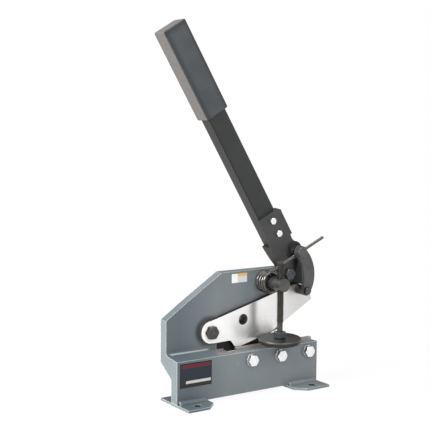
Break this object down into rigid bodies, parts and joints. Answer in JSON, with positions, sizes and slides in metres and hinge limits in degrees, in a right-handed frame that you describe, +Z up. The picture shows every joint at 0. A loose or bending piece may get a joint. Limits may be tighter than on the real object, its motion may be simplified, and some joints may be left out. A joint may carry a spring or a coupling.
{
  "type": "bench lever shear",
  "caption": "Bench-mounted hand lever shear: a steel body with fixed and moving blades, a bar-cutting hole, bowed links, a long lever with a grip, a return spring and a screw hold-down.",
  "frame": {"origin": "centre of the four bench-bolt holes, on the underside of the feet", "axes": "+X to the right along the blades, +Y to the back, +Z up from the bench"},
  "size_m": [0.3024, 0.104, 0.5784],
  "materials": {
    "body_paint": "smooth grey-blue paint",
    "blade_steel": "bright ground steel",
    "lower_blade_steel": "ground steel with a warm tone",
    "zinc": "bright zinc plating",
    "dark_bolt": "oil-blackened steel",
    "black_steel": "satin black",
    "tube_paint": "satin black paint",
    "grip_rubber": "matt dark grip",
    "spring_steel": "oil-blackened wire",
    "black_plate": "gloss black plate",
    "label_white": "plain label"
  },
  "bodies": {
    "body": {"frame_body": "body_paint", "left_foot": "body_paint", "right_foot": "body_paint", "lower_blade": "lower_blade_steel", "lower_blade_bolts": "zinc", "lower_blade_washers": "zinc", "blade_pivot_bolt": "dark_bolt", "blade_pivot_nut": "dark_bolt", "bar_die_plate": "black_steel", "die_screws": "black_steel", "lever_pivot_bolt": "dark_bolt", "lever_pivot_nut": "dark_bolt", "hold_down_arm": "black_steel", "arm_nut": "zinc", "spring_coil": "spring_steel", "data_plate": "black_plate", "plate_label": "label_white"},
    "lever": {"lever_head": "black_steel", "handle_tube": "tube_paint", "handle_bolts": "zinc", "handle_nuts": "zinc", "grip": "grip_rubber"},
    "blade": {"moving_blade": "blade_steel"},
    "links": {"front_link": "black_steel", "rear_link": "black_steel", "upper_link_bolt": "dark_bolt", "upper_link_nut": "dark_bolt", "link_spacer": "black_steel", "lower_link_screw": "dark_bolt", "lower_link_nut": "dark_bolt"},
    "spring_arm": {"spring_leg": "spring_steel"},
    "foot": {"pressure_foot": "black_steel", "spindle_hub": "black_steel"},
    "screw": {"spindle": "dark_bolt"}
  },
  "joints": [
    {"name": "lever_pivot", "type": "hinge", "parent": "body", "child": "lever", "pos_m": [0.0915, 0.0191, 0.1817], "axis": [0, 1, 0], "range_deg": [0, 100]},
    {"name": "blade_pivot", "type": "hinge", "parent": "body", "child": "blade", "pos_m": [-0.0586, 0.0202, 0.102], "axis": [0, 1, 0], "range_deg": [0, 15.8]},
    {"name": "link_pivot", "type": "hinge", "parent": "blade", "child": "links", "pos_m": [0.11381, 0.0145, 0.15424], "axis": [0, 1, 0], "range_deg": [0, 2.3]},
    {"name": "spring_turn", "type": "hinge", "parent": "body", "child": "spring_arm", "pos_m": [0.0483, 0.0041, 0.1728], "axis": [0, 1, 0], "range_deg": [0, 46.23]},
    {"name": "foot_slide", "type": "slide", "parent": "body", "child": "foot", "axis": [0, 0, 1], "range_m": [-0.006, 0.024]},
    {"name": "screw_turn", "type": "hinge", "parent": "foot", "child": "screw", "pos_m": [0.0483, -0.0195, 0.1], "axis": [0, 0, 1], "range_deg": [-1235, 4938]}
  ],
  "couplings": [
    {"joint": "blade_pivot", "follows": "lever_pivot", "ratio": 0.1575},
    {"joint": "link_pivot", "follows": "lever_pivot", "ratio": 0.0225},
    {"joint": "spring_turn", "follows": "lever_pivot", "ratio": 0.4618},
    {"joint": "screw_turn", "follows": "foot_slide", "rad_per_m": 3590.4}
  ]
}
